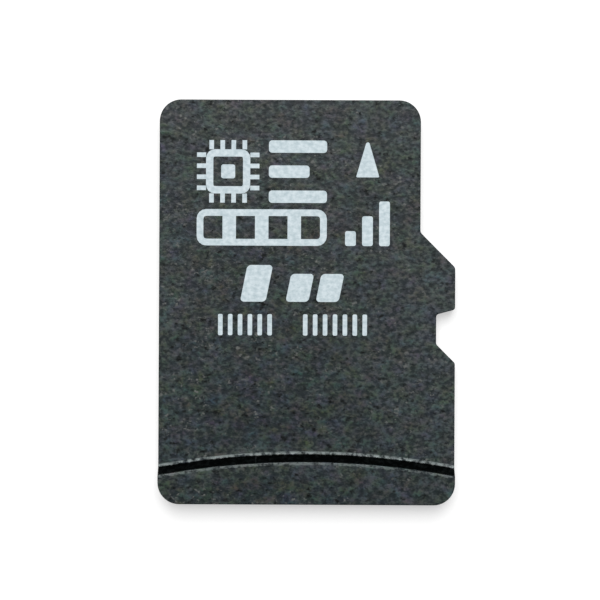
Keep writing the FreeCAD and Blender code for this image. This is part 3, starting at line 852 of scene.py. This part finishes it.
def rounded_square(name, size, corner):
    """A square with round corners about the chip's middle."""
    square = start_patch(name, chip_middle.x - size / 2, chip_middle.y - size / 2, size, size)
    round_points(square, corner)
    return square


def open_windows(patch, frame_width):
    """Takes the middle out of every face and leaves a frame round it."""
    edit_points(patch)
    bpy.ops.mesh.select_mode(type="FACE")
    bpy.ops.mesh.select_all(action="SELECT")
    bpy.ops.mesh.inset(thickness=frame_width, use_individual=True)
    bpy.ops.mesh.delete(type="FACE")
    bpy.ops.object.mode_set(mode="OBJECT")


chip_frame = rounded_square("chip_mark", body_size, CHIP_CORNER)
open_windows(chip_frame, CHIP_FRAME)
chip_core = rounded_square("chip_core", CHIP_CORE, CORE_CORNER)
print("chip's frame in mm:", round(body_size / MM, 2), "core:", round(CHIP_CORE / MM, 2))

# %% Chip's legs
CHIP_LEG_WIDTH = 0.17 * MM
CHIP_LEG_COUNT = 4

leg_pitch = body_size / CHIP_LEG_COUNT
leg_left = chip_middle.x - body_size / 2 + (leg_pitch - CHIP_LEG_WIDTH) / 2


def repeat_across(patch, count, pitch):
    """Repeats a shape across the card."""
    row = patch.modifiers.new("row", "ARRAY")
    row.count = count
    row.use_relative_offset = False
    row.use_constant_offset = True
    row.constant_offset_displace = (pitch, 0, 0)
    bpy.ops.object.modifier_apply(modifier=row.name)
    return patch


def turned_copy(patch, quarter_turns):
    """A copy with its own mesh, turned about the chip's middle."""
    pick_out([patch])
    bpy.ops.object.duplicate(linked=False)
    copy = bpy.context.object
    edit_points(copy)
    turn = math.radians(90 * quarter_turns)
    bpy.ops.transform.rotate(value=turn, orient_axis="Z", center_override=chip_middle)
    bpy.ops.object.mode_set(mode="OBJECT")
    return copy


def join_patches(patches):
    """Makes one mesh of several shapes, under the first one's name."""
    pick_out(patches)
    bpy.ops.object.join()
    return patches[0]


leg = start_patch("chip_legs", leg_left, CHIP_REAR, CHIP_LEG_WIDTH, CHIP_LEG_LENGTH)
legs = repeat_across(leg, CHIP_LEG_COUNT, leg_pitch)
all_legs = [legs, *(turned_copy(legs, turns) for turns in (1, 2, 3))]
lay_ink(join_patches([chip_frame, chip_core, *all_legs]))

# %% [markdown]
# ## Lines beside the chip
# Three thick lines fill the rest of the top row, the middle one shorter, as on a plain data label.
# Thick curves would give them too, but a plane with rounded corners matches the chip beside them
# and has few faces.

# %% Lines
PRINT_RIGHT = 0.72 * MM
LINE_COUNT = 3
LINE_THICKNESS = 0.46 * MM
LINE_GAP_TO_CHIP = 0.35 * MM
LINE_CORNER = 0.12 * MM
SHORT_LINE_SHARE = 0.7

line_left = PRINT_LEFT + CHIP_SIZE + LINE_GAP_TO_CHIP
line_pitch = (CHIP_SIZE - LINE_THICKNESS) / (LINE_COUNT - 1)
lines = []
for number in range(LINE_COUNT):
    share = SHORT_LINE_SHARE if number == 1 else 1.0
    width = (PRINT_RIGHT - line_left) * share
    rear = CHIP_REAR + number * line_pitch
    line = start_patch(f"data_lines_{number}", line_left, rear, width, LINE_THICKNESS)
    round_points(line, LINE_CORNER)
    lines.append(line)
lines[0].name = "data_lines"
lay_ink(join_patches(lines))

# %% [markdown]
# ## Film strip
# Below is a white plate with four dark windows, a plain sign for pictures. A Boolean modifier could
# cut the windows out, but it leaves faces with many corners. Here the plane has four columns, and
# an inset on each column by itself gives the windows, which are then taken out.

# %% Film strip
STRIP_REAR = 2.08 * MM
STRIP_LENGTH = 1.35 * MM
STRIP_WINDOWS = 4
STRIP_FRAME = 0.25 * MM
STRIP_CORNER = 0.35 * MM

plate_width = PRINT_RIGHT - PRINT_LEFT


def plate_corner(place):
    """True at the plate's own corners, and not where its columns meet."""
    at_left = place.x < PRINT_LEFT + STRIP_FRAME
    at_right = place.x > PRINT_RIGHT - STRIP_FRAME
    return at_left or at_right


plate = start_patch("film_strip", PRINT_LEFT, STRIP_REAR, plate_width, STRIP_LENGTH, STRIP_WINDOWS)
round_points(plate, STRIP_CORNER, plate_corner)
open_windows(plate, STRIP_FRAME)
lay_ink(plate)

# %% [markdown]
# ## Rising bars
# Three bars of growing height stand for the card's speed, under the arrow. An Array modifier
# repeats a shape at one size only, so a loop makes each bar as the same patch a step longer.

# %% Rising bars
BARS_LEFT = 1.4 * MM
BARS_REAR = 2.08 * MM
BARS_SIZE = 1.66 * MM
BAR_COUNT = 3
BAR_WIDTH = 0.4 * MM
BAR_CORNER = 0.08 * MM

bar_pitch = (BARS_SIZE - BAR_WIDTH) / (BAR_COUNT - 1)
bars = []
for number in range(BAR_COUNT):
    length = BARS_SIZE * (number + 1) / BAR_COUNT
    left = BARS_LEFT + number * bar_pitch
    bar = start_patch(f"speed_bars_{number}", left, BARS_REAR, BAR_WIDTH, length)
    round_points(bar, BAR_CORNER)
    bars.append(bar)
bars[0].name = "speed_bars"
lay_ink(join_patches(bars))

# %% [markdown]
# ## Slanted blocks
# The middle of the face carries the heaviest print: one tall block and two lower ones, all leaning
# forward. Shear would lean them, but it needs a window to work in. A block is a rectangle, so
# sliding its front edge sideways does the same. The lower block is made once and repeated.

# %% Slanted blocks
BLOCK_REAR = 0.0
BLOCK_LEAN = 0.2
BLOCK_CORNER = 0.14 * MM
TALL_BLOCK = {"left": -2.49 * MM, "width": 0.95 * MM, "length": 1.36 * MM}
LOW_BLOCK = {"left": -0.8 * MM, "width": 0.85 * MM, "length": 1.04 * MM}
LOW_BLOCK_COUNT = 2
LOW_BLOCK_PITCH = 1.12 * MM


def slanted_block(name, left, width, length):
    """A block with round corners that leans to the right towards its front."""
    block = start_patch(name, left, BLOCK_REAR, width, length)
    edit_points(block, lambda place: place.y > BLOCK_REAR + length / 2)
    bpy.ops.transform.translate(value=(BLOCK_LEAN * length, 0, 0))
    bpy.ops.object.mode_set(mode="OBJECT")
    round_points(block, BLOCK_CORNER)
    return block


tall_block = slanted_block("size_blocks", **TALL_BLOCK)
low_blocks = repeat_across(slanted_block("low_blocks", **LOW_BLOCK), LOW_BLOCK_COUNT, LOW_BLOCK_PITCH)
lay_ink(join_patches([tall_block, low_blocks]))

# %% [markdown]
# ## Rows of ticks
# A fine row in two groups ends the print. Copies placed one by one would drift, so one tick is
# modelled for each group and an Array modifier repeats it.

# %% Ticks
TICK_REAR = -1.25 * MM
TICK_LENGTH = 0.79 * MM
TICK_WIDTH = 0.17 * MM
TICK_CORNER = 0.05 * MM
TICK_GROUPS = {
    "ticks_left": {"left": -3.30 * MM, "right": -1.30 * MM, "count": 6},
    "ticks_right": {"left": -0.15 * MM, "right": 2.23 * MM, "count": 7},
}


def tick_row(name, left, right, count):
    """A row of ticks that fills the width from left to right."""
    tick = start_patch(name, left, TICK_REAR, TICK_WIDTH, TICK_LENGTH)
    round_points(tick, TICK_CORNER)
    return repeat_across(tick, count, (right - left - TICK_WIDTH) / (count - 1))


for name, group in TICK_GROUPS.items():
    lay_ink(tick_row(name, **group))
